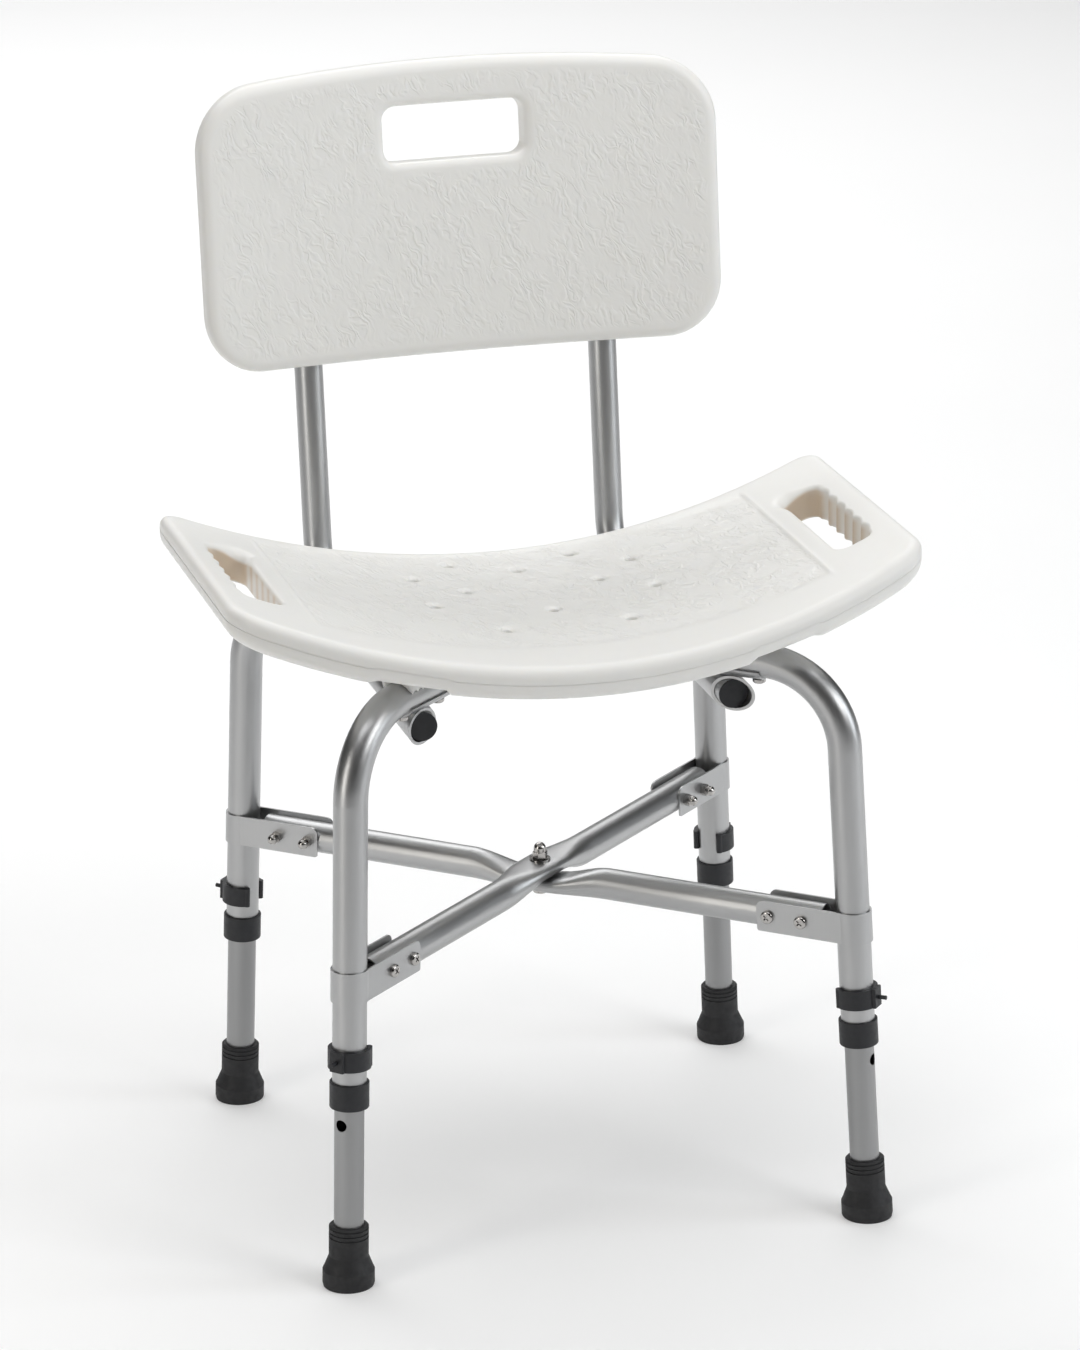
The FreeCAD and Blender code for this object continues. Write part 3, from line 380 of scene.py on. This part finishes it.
class Side:
    """One side of a shell: flat points, their edge drops, the rims' point numbers and triangles."""

    def __init__(self, outline_rows, hole_rows, spacing, detail=None):
        points, drops, edges, self.rims = [], [], [], []
        for rows in [outline_rows] + hole_rows:
            for index, (row, drop) in enumerate(rows):
                start = sum(len(p) for p in points)
                if index == 0:
                    self.rims.append(np.arange(start, start + len(row)))
                if index == 0 or index == len(rows) - 1:
                    ids = np.arange(start, start + len(row))
                    edges += list(zip(ids.tolist(), np.roll(ids, -1).tolist()))
                points.append(row)
                drops.append(drop)
        grid = self.grid(outline_rows[-1][0], [rows[-1][0] for rows in hole_rows], spacing, detail)
        points.append(grid)
        drops.append(np.zeros(len(grid)))
        self.flat, self.drop = np.vstack(points), np.concatenate(drops)
        holes = [rows[0][0] for rows in hole_rows]
        self.triangles = self.triangulate(edges, holes, outline_rows[0][0])

    def grid(self, outline, holes, spacing, detail):
        low, high = outline.min(0), outline.max(0)
        rows = []
        for j, y in enumerate(np.arange(low[1], high[1], spacing * ROW_HEIGHT)):
            xs = np.arange(low[0] + (j % 2) * spacing / 2, high[0], spacing)
            rows.append(np.stack([xs, np.full(len(xs), y)], 1))
        grid = np.vstack(rows)
        if detail is not None:
            low, high = detail.min(0), detail.max(0)
            x, y = np.abs(grid[:, 0]), grid[:, 1]
            gap = 0.0012
            clear = (x < low[0] - gap) | (x > high[0] + gap) | (y < low[1]) | (y > high[1])
            grid = np.vstack([grid[clear], detail, detail * (-1, 1)])
        margin = spacing * 0.6
        grid = grid[inside(grid, outline - normals(outline) * margin)]
        for hole in holes:
            grid = grid[~inside(grid, hole + normals(hole) * margin)]
        return grid

    def triangulate(self, edges, holes, outline):
        points = [Vector(p) for p in self.flat.tolist()]
        result = geometry.delaunay_2d_cdt(points, edges, [], 0, 1e-9)
        faces, origins = result[2], result[3]
        source = np.array([ids[0] if ids else -1 for ids in origins])
        if (source < 0).any():
            raise RuntimeError("the outline's rows cross each other")
        triangles = source[np.array(faces)]
        middles = self.flat[triangles].mean(1)
        keep = inside(middles, outline)
        for hole in holes:
            keep &= ~inside(middles, hole)
        return triangles[keep]


def shell(name, top, bottom, top_height, bottom_height, wall_rows, place, attributes):
    """Joins two sides with walls and returns the finished object.

    wall_rows(rim index) lists the rows down a wall: the share of the way down, the outward shift.
    """
    top_h = top_height(top.flat) - top.drop
    bottom_h = bottom_height(bottom.flat) + bottom.drop
    flat = [top.flat, bottom.flat]
    height = [top_h, bottom_h]
    offset = len(top.flat)
    faces = top.triangles.tolist() + (bottom.triangles[:, ::-1] + offset).tolist()
    count = offset + len(bottom.flat)
    for rim, (upper, lower) in enumerate(zip(top.rims, bottom.rims)):
        ids = [upper]
        for share, shift in wall_rows(rim):
            ring = top.flat[upper] * (1 - share) + bottom.flat[lower] * share
            ring = ring + normals(top.flat[upper]) * shift
            flat.append(ring)
            height.append(top_h[upper] * (1 - share) + bottom_h[lower] * share)
            ids.append(np.arange(count, count + len(ring)))
            count += len(ring)
        ids.append(lower + offset)
        for above, below in zip(ids[:-1], ids[1:]):
            quads = np.stack([above, np.roll(above, -1), np.roll(below, -1), below], 1)
            faces += (quads[:, ::-1] if rim == 0 else quads).tolist()
    flat, height = np.vstack(flat), np.concatenate(height)
    mesh = bpy.data.meshes.new(name)
    mesh.from_pydata(place(flat, height).tolist(), [], faces)
    for key, values in attributes(flat, height).items():
        layer = mesh.attributes.new(key, "FLOAT", "POINT")
        layer.data.foreach_set("value", np.asarray(values, np.float32))
    mesh.shade_smooth()
    obj = bpy.data.objects.new(name, mesh)
    bpy.context.scene.collection.objects.link(obj)
    return obj


# Rows down an outer rim: a parting line runs round its middle.
RIM_WALL = [(0.2, 0), (0.38, 0), (0.47, -0.0003), (0.5, -0.0006), (0.53, 0), (0.62, -0.0001),
            (0.8, 0)]


def plain_wall(*shares):
    return [(share, 0) for share in shares]


def border_share(flat, loop, low, high):
    """0 within low of a loop, 1 beyond high; worked out part by part, to save memory."""
    nearest, step = np.full(len(flat), 1.0), 64
    for start in range(0, len(loop), step):
        part = loop[start:start + step]
        nearest = np.minimum(nearest, np.linalg.norm(flat[:, None] - part[None], axis=2).min(1))
    return smoothstep(low, high, nearest)


def smoothstep(low, high, x):
    t = np.clip((x - low) / (high - low), 0, 1)
    return t * t * (3 - 2 * t)


# ---- Seat --------------------------------------------------------------------------------------
SEAT_LOW, SEAT_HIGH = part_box("seat")
SEAT_HALF = SEAT_HIGH.x
SEAT_T = 0.026   # thickness
SEAT_R = 0.7025  # curve across, at the middle of the thickness
SEAT_FRONT, SEAT_BACK = SEAT_LOW.y - CENTRE_Y, SEAT_HIGH.y - CENTRE_Y
SEAT_FRONT_BOW, SEAT_BACK_BOW = 0.055, 0.0207
SEAT_MID_Z = 0.4508  # middle of the thickness, at the centre line
SEAT_CORNER_R = 0.022
SLOT_X, SLOT_Y, SLOT_CORNER_R = (0.2128, 0.2408), (-0.081, 0.056), 0.009
ARCH_Z, ARCH_R = 0.431, 0.0127
DRAINS = [(0.048, 0.075), (0.086, 0.038), (0, 0.052), (0.052, 0.007), (0.086, -0.030), (0, -0.0495),
          (0.048, -0.091)]
DRAIN_R, DISH_R, DISH_DEPTH, CIRCLE_POINTS = 0.0042, 0.0092, 0.0021, 28
FIELD_X, FIELD_FRONT, FIELD_FRONT_BOW, FIELD_BACK = 0.1936, -0.139, 0.024, 0.099  # textured field
FIELD_STEP, FIELD_RIDGE, FIELD_RIDGE_W = 0.0008, 0.0006, 0.0016
FINGERS, FINGER_DEPTH, FINGER_END_GAP = 6, 0.0022, 0.012
EDGE_R = 0.0095             # rounding of the seat's rim and the backrest's front rim
GRID, FINE_GRID = 0.0035, 0.0025
FIT = 0.0003                # clearance of the channels for the tubes
RIB_DROP = 0.0055           # screw ribs end this far above an arch's axis
RIB_W = (0.0125, 0.0145)    # half the width of a rib at its foot and where it fades out
RIB_REAR, RIB_FRONT = (0.097, 0.146), (0.126, 0.193)  # a rib's ends, from the seat's middle
CROSSING_R = (0.044, 0.0465)                          # hollow where the arches cross
NOTCH_INNER, NOTCH_OUTER, NOTCH_DEPTH = (0.113, 0.116), (0.163, 0.172), 0.0034


def seat_outline():
    x, front, back = SEAT_HALF, SEAT_FRONT + SEAT_FRONT_BOW, SEAT_BACK
    fine = 0.002
    loop = np.vstack([arc((-x, front), (0, SEAT_FRONT), (x, front), fine),
                      line((x, front), (x, back), fine),
                      arc((x, back), (0, back - SEAT_BACK_BOW), (-x, back), fine),
                      line((-x, back), (-x, front), fine)])
    corners = [(-x, front), (x, front), (x, back), (-x, back)]
    return rounded(loop, corners, SEAT_CORNER_R, GRID)


def slot_loop(sign):
    (x0, x1), (y0, y1) = SLOT_X, SLOT_Y
    fine = 0.001
    corners = [(x0, y0), (x1, y0), (x1, y1), (x0, y1)]
    loop = np.vstack([line(a, b, fine) for a, b in zip(corners, corners[1:] + corners[:1])])
    loop = scalloped(rounded(loop, corners, SLOT_CORNER_R, 0.0015))
    return loop if sign > 0 else (loop * (-1, 1))[::-1]


def finger_wave(y):
    """0 on the ridges between the finger hollows along a hand slot, 1 in each hollow's middle."""
    low, high = SLOT_Y[0] + FINGER_END_GAP, SLOT_Y[1] - FINGER_END_GAP
    share = np.clip((y - low) / (high - low), 0, 1)
    return np.abs(np.sin(math.pi * FINGERS * share))


def scalloped(loop):
    """Finger hollows along the outer wall, with a sharp ridge between each two."""
    outer_wall = smoothstep(SLOT_X[1] - 0.003, SLOT_X[1] - 0.0005, loop[:, 0])
    hollow = finger_wave(loop[:, 1]) * outer_wall
    return loop + np.stack([FINGER_DEPTH * hollow, np.zeros(len(loop))], 1)


def slot_lip(loop):
    """Edge radius round a hand slot: crisp at the fingers, wide at the rear end."""
    x, y = np.abs(loop[:, 0]), loop[:, 1]
    inboard = 1 - smoothstep(SLOT_X[0], SLOT_X[1] - 0.006, x)
    rear = smoothstep(SLOT_Y[1] - 0.030, SLOT_Y[1], y)
    return 0.0016 + 0.0035 * inboard + 0.007 * rear * (0.35 + 0.65 * inboard)


def circle(x, y, radius):
    angles = 2 * math.pi * np.arange(CIRCLE_POINTS) / CIRCLE_POINTS
    return np.stack([x + radius * np.cos(angles), y + radius * np.sin(angles)], 1)


def drain_rows(x, y):
    """A drain hole in a shallow dish, from the hole outwards."""
    rows = []
    for share in (0, 0.08, 0.2, 0.36, 0.55, 0.77, 1.0):
        radius = DRAIN_R + (DISH_R - DRAIN_R) * share
        loop = circle(x, y, radius)
        rows.append((loop, np.full(len(loop), DISH_DEPTH * (1 - share) ** 2)))
    return rows


def plain_hole_rows(x, y):
    """A drain hole's edge on the underside."""
    return [(circle(x, y, DRAIN_R + 0.0008 * share),
             np.full(CIRCLE_POINTS, 0.0006 * (1 - share) ** 2)) for share in (0, 0.5, 1)]


def drain_points():
    return [(x * sign, y) for x, y in DRAINS for sign in ((1, -1) if x else (1,))]


def field_share(flat):
    """1 inside the textured field, 0 outside, fading at the front and rear."""
    x, y = flat[:, 0], flat[:, 1]
    front = FIELD_FRONT + FIELD_FRONT_BOW * (x / FIELD_X) ** 2
    sides = 1 - smoothstep(FIELD_X - 0.0012, FIELD_X + 0.0012, np.abs(x))
    rear = 1 - smoothstep(FIELD_BACK - 0.006, FIELD_BACK + 0.004, y)
    return sides * smoothstep(front - 0.004, front + 0.006, y) * rear


def field_edge_points():
    """Close columns of points where the field's step and ridge are."""
    xs = FIELD_X + np.arange(-3, 6) * 0.0012
    ys = np.arange(FIELD_FRONT, FIELD_BACK + 0.01, 0.003)
    return np.array([(x, y) for x in xs for y in ys])


def seat_top_height(flat):
    x, y = flat[:, 0], flat[:, 1]
    rear = 1 - smoothstep(FIELD_BACK - 0.004, FIELD_BACK + 0.002, y)
    along = smoothstep(FIELD_FRONT + 0.01, FIELD_FRONT + 0.03, y) * rear
    from_ridge = (np.abs(x) - FIELD_X - FIELD_RIDGE_W) / FIELD_RIDGE_W
    ridge = FIELD_RIDGE * np.exp(-from_ridge ** 2) * along
    return SEAT_T / 2 - 0.0009 - FIELD_STEP * field_share(flat) + ridge


def seat_bottom_height(flat):
    """Underside with the arches' channels, their screw ribs and the notches in the front rim."""
    x, y = flat[:, 0], flat[:, 1]
    base = np.full(len(flat), -SEAT_T / 2 + 0.0004)
    curve_z = SEAT_MID_Z + SEAT_R - np.sqrt((SEAT_R - base) ** 2 - x * x)
    z = curve_z.copy()
    for direction in (diagonal, other_diagonal):
        across = np.abs(x * direction.y - y * direction.x)
        reach = np.hypot(x, y)
        low, high = (np.where(y > 0, rear, front) for rear, front in zip(RIB_REAR, RIB_FRONT))
        rib = (1 - smoothstep(*RIB_W, across)) * smoothstep(low, low + 0.003, reach)
        rib *= 1 - smoothstep(high - 0.003, high, reach)
        z = z * (1 - rib) + np.minimum(z, ARCH_Z + RIB_DROP) * rib
        channel_r = ARCH_R + FIT
        channel = ARCH_Z + np.sqrt(np.maximum(channel_r ** 2 - across ** 2, 0))
        z = np.where(across < channel_r, np.maximum(z, channel), z)
    crossing = 1 - smoothstep(*CROSSING_R, np.hypot(x, y))
    z = z * (1 - crossing) + np.maximum(z, ARCH_Z + ARCH_R + FIT) * crossing
    notch = smoothstep(*NOTCH_INNER, np.abs(x)) * (1 - smoothstep(*NOTCH_OUTER, np.abs(x)))
    z = z + NOTCH_DEPTH * notch * (1 - smoothstep(SEAT_FRONT + 0.02, SEAT_FRONT + 0.05, y))
    return SEAT_R - np.sqrt((SEAT_MID_Z + SEAT_R - z) ** 2 + x * x)


def seat_place(flat, height):
    x, y = flat[:, 0], flat[:, 1]
    z = SEAT_MID_Z + SEAT_R - np.sqrt((SEAT_R - height) ** 2 - x * x)
    return np.stack([x, y + CENTRE_Y, z], 1)


def seat_walls(rim):
    if rim == 0:
        return RIM_WALL
    if rim in (1, 2):
        return plain_wall(0.2, 0.4, 0.6, 0.8)  # the hand slots
    return plain_wall(0.3, 0.7)  # the drain holes


def slot_painted_shade_share(flat, height, slots):
    """Painted shade and warm glow on the hand slots' walls: most on the ridges between finger
    hollows.
    """
    near = 1 - border_share(flat, np.vstack(slots), 0.0002, 0.0012)
    below = 1 - smoothstep(SEAT_T / 2 - 0.006, SEAT_T / 2 - 0.002, height)
    return near * below * (1 - 0.75 * finger_wave(flat[:, 1]))


def seat():
    outline, slots = seat_outline(), [slot_loop(1), slot_loop(-1)]
    upper_holes = [edge_rows(loop, 1, slot_lip(loop)) for loop in slots]
    upper_holes += [drain_rows(*p) for p in drain_points()]
    lower_holes = [edge_rows(loop, 1, 0.003, 5) for loop in slots]
    lower_holes += [plain_hole_rows(*p) for p in drain_points()]
    top = Side(edge_rows(outline, -1, EDGE_R), upper_holes, GRID, field_edge_points())
    bottom = Side(edge_rows(outline, -1, EDGE_R), lower_holes, FINE_GRID)

    def attributes(flat, height):
        # The hand slots' walls get painted shade and a painted warm glow.
        return {"grain": field_share(flat) * (height > 0), "flat_x": flat[:, 0],
                "flat_y": flat[:, 1], "bore": slot_painted_shade_share(flat, height, slots)}

    obj = shell("seat_shell", top, bottom, seat_top_height, seat_bottom_height, seat_walls,
                seat_place, attributes)
    obj.data.materials.append(PLASTIC)
    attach(obj, "frame")
    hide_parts("seat")
    return obj


seat()


# ---- Backrest ----------------------------------------------------------------------------------
# Drawn flat: x across and up along the panel, front face on top; then curved and leaned back.
BACK_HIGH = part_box("backrest")[1]
PANEL_HALF, PANEL_H, PANEL_CROWN, PANEL_T, PANEL_R = BACK_HIGH.x, 0.229, 0.0135, 0.025, 0.9
PANEL_FRONT, PANEL_LOW, PANEL_LEAN = 0.1965, 0.596, math.atan(0.1)
PANEL_CORNER_R = 0.044
PANEL_SLOT, PANEL_SLOT_UP = (0.0565, 0.022), 0.173
TUBE_X, TUBE_R, TUBE_DEPTH = 0.119, 0.0111, 0.0267


def panel_outline():
    x, side_top, fine = PANEL_HALF, PANEL_H - PANEL_CROWN, 0.002
    loop = np.vstack([line((-x, 0), (x, 0), fine), line((x, 0), (x, side_top), fine),
                      arc((x, side_top), (0, PANEL_H), (-x, side_top), fine),
                      line((-x, side_top), (-x, 0), fine)])
    corners = [(-x, 0), (x, 0), (x, side_top), (-x, side_top)]
    return rounded(loop, corners, PANEL_CORNER_R, GRID)


def panel_slot():
    (x, y), up, fine = PANEL_SLOT, PANEL_SLOT_UP, 0.001
    corners = [(-x, up - y), (x, up - y), (x, up + y), (-x, up + y)]
    loop = np.vstack([line(a, b, fine) for a, b in zip(corners, corners[1:] + corners[:1])])
    return rounded(loop, corners, 0.010, 0.0022)


def panel_back_height(flat):
    """Rear face, with a shallow groove for each back tube."""
    x = flat[:, 0]
    back = np.sqrt((PANEL_R + PANEL_T) ** 2 - x * x) - PANEL_R
    groove_r = TUBE_R + FIT
    across = np.abs(x) - TUBE_X
    groove = TUBE_DEPTH - np.sqrt(np.maximum(groove_r ** 2 - across ** 2, 0))
    back = np.where(np.abs(across) < groove_r, np.minimum(back, groove), back)
    return PANEL_T / 2 - (np.sqrt((back + PANEL_R) ** 2 + x * x) - PANEL_R)


def panel_place(flat, height):
    x, up = flat[:, 0], flat[:, 1]
    back = np.sqrt((PANEL_R + PANEL_T / 2 - height) ** 2 - x * x) - PANEL_R
    cos, sin = math.cos(PANEL_LEAN), math.sin(PANEL_LEAN)
    y = PANEL_FRONT + CENTRE_Y + back * cos + up * sin
    return np.stack([x, y, PANEL_LOW + up * cos - back * sin], 1)


def panel_walls(rim):
    return RIM_WALL if rim == 0 else plain_wall(0.1, 0.35, 0.65, 0.9)


def backrest():
    outline, slot = panel_outline(), panel_slot()
    front = Side(edge_rows(outline, -1, EDGE_R), [edge_rows(slot, 1, 0.0065)], GRID)
    back = Side(edge_rows(outline, -1, 0.0075), [edge_rows(slot, 1, 0.004, 5)], 0.0028)

    def attributes(flat, height):
        share = border_share(flat, outline, 0.009, 0.016) * border_share(flat, slot, 0.006, 0.011)
        return {"grain": share * (height > 0), "flat_x": flat[:, 0], "flat_y": flat[:, 1],
                "bore": np.zeros(len(flat))}

    obj = shell("backrest_shell", front, back, lambda flat: np.full(len(flat), PANEL_T / 2),
                panel_back_height, panel_walls, panel_place, attributes)
    obj.data.materials.append(PLASTIC)
    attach(obj, "backrest_unit")
    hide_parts("backrest")
    return obj


backrest()


# ---- Studio ------------------------------------------------------------------------------------
FLOOR_HALF, FLOOR_GLOW = 12.0, 0.12
WORLD_FRONT, WORLD_REAR, WORLD_UP = 0.01, 0.05, 0.02
LIGHTS = [  # name, position, target, size in metres, watts, colour
    ("overhead", (0, -0.2, 2.6), (0, 0, 0), (2.2, 2.0), 35.5, (1, 1, 1)),
    ("rear floor", (0, 3.5, 3.0), (0, 3.5, 0), (4.8, 3.6), 140, (1, 1, 1)),
    ("right", (2.5, -1.0, 1.2), (0, 0, 0.5), (0.9, 1.8), 19, (0.93, 0.97, 1.0)),
    ("left", (-2.3, -1.1, 1.0), (0, 0, 0.5), (0.7, 1.8), 14, (1.0, 0.97, 0.92)),
    ("front right", (2.2, -2.4, 2.2), (0, 0.1, 0.6), (1.4, 1.2), 29, (1, 1, 1)),
]
# The camera was fitted to the photograph: where it stands, and the point that it looks at.
CAMERA_AZIMUTH, CAMERA_ELEVATION, CAMERA_ROLL = -15.495, 18.671, -0.893  # degrees
CAMERA_DISTANCE, TARGET_RIGHT, TARGET_HEIGHT = 3.96496, 0.002211, 0.39399
CAMERA_LENS = 139.71


def floor():
    mesh = bpy.data.meshes.new("floor")
    half = FLOOR_HALF
    corners = [(-half, -half, 0), (half, -half, 0), (half, half, 0), (-half, half, 0)]
    mesh.from_pydata(corners, [], [(0, 1, 2, 3)])
    obj = bpy.data.objects.new("floor", mesh)
    bpy.context.scene.collection.objects.link(obj)
    s = Shader("floor")
    p = s.position()
    s.drive("Base Color", s.blend(s.noise(p, 3.0), (0.88, 0.88, 0.88), (0.90, 0.90, 0.90)))
    s.set(Roughness=0.9, Specular_IOR_Level=0.1)
    s.set(Emission_Color=(1, 1, 1, 1), Emission_Strength=FLOOR_GLOW)
    mesh.materials.append(s.material)


def area_light(name, position, target, size, power, colour):
    light = bpy.data.lights.new(name, "AREA")
    light.shape = "RECTANGLE"
    light.size, light.size_y = size
    light.energy = power
    light.color = colour
    obj = bpy.data.objects.new(name, light)
    obj.location = position
    obj.rotation_euler = (Vector(target) - Vector(position)).to_track_quat("-Z", "Y").to_euler()
    bpy.context.scene.collection.objects.link(obj)


def set_range(node, low, high, to_low, to_high):
    values = {"From Min": low, "From Max": high, "To Min": to_low, "To Max": to_high}
    for key, value in values.items():
        node.inputs[key].default_value = value


def world():
    """Dark studio, a little lighter behind the object and overhead than behind the camera."""
    scene_world = bpy.data.worlds.new("studio")
    scene_world.use_nodes = True
    tree = scene_world.node_tree
    background = tree.nodes["Background"]
    background.inputs["Color"].default_value = (1, 1, 1, 1)
    direction = tree.nodes.new("ShaderNodeTexCoord").outputs["Generated"]
    split = tree.nodes.new("ShaderNodeSeparateXYZ")
    tree.links.new(direction, split.inputs[0])
    rear = tree.nodes.new("ShaderNodeMapRange")
    rear.interpolation_type = "SMOOTHSTEP"
    set_range(rear, -0.3, 0.8, WORLD_FRONT, WORLD_REAR)
    tree.links.new(split.outputs["Y"], rear.inputs["Value"])
    up = tree.nodes.new("ShaderNodeMapRange")
    set_range(up, 0.1, 0.9, 0.0, WORLD_UP)
    tree.links.new(split.outputs["Z"], up.inputs["Value"])
    total = tree.nodes.new("ShaderNodeMath")
    total.operation = "ADD"
    tree.links.new(rear.outputs[0], total.inputs[0])
    tree.links.new(up.outputs[0], total.inputs[1])
    tree.links.new(total.outputs[0], background.inputs["Strength"])
    bpy.context.scene.world = scene_world


def camera():
    """Long-lens view from the front left, from a little above."""
    azimuth, elevation = math.radians(CAMERA_AZIMUTH), math.radians(CAMERA_ELEVATION)
    roll = math.radians(CAMERA_ROLL)
    back = Vector((math.sin(azimuth) * math.cos(elevation),
                   -math.cos(azimuth) * math.cos(elevation), math.sin(elevation)))
    level_right = (-back).cross(UP).normalized()
    level_up = level_right.cross(-back)
    right = level_right * math.cos(roll) + level_up * math.sin(roll)
    up = level_up * math.cos(roll) - level_right * math.sin(roll)
    target = Vector((TARGET_RIGHT * math.cos(azimuth), TARGET_RIGHT * math.sin(azimuth) + CENTRE_Y,
                     TARGET_HEIGHT))
    data = bpy.data.cameras.new("camera")
    data.lens, data.sensor_width = CAMERA_LENS, 36.0
    obj = bpy.data.objects.new("camera", data)
    axes = Matrix((right, up, back)).transposed().to_4x4()
    obj.matrix_world = Matrix.Translation(target + back * CAMERA_DISTANCE) @ axes
    bpy.context.scene.collection.objects.link(obj)
    bpy.context.scene.camera = obj


floor()
world()
for light in LIGHTS:
    area_light(*light)
camera()
bpy.context.scene.view_settings.view_transform = "Standard"
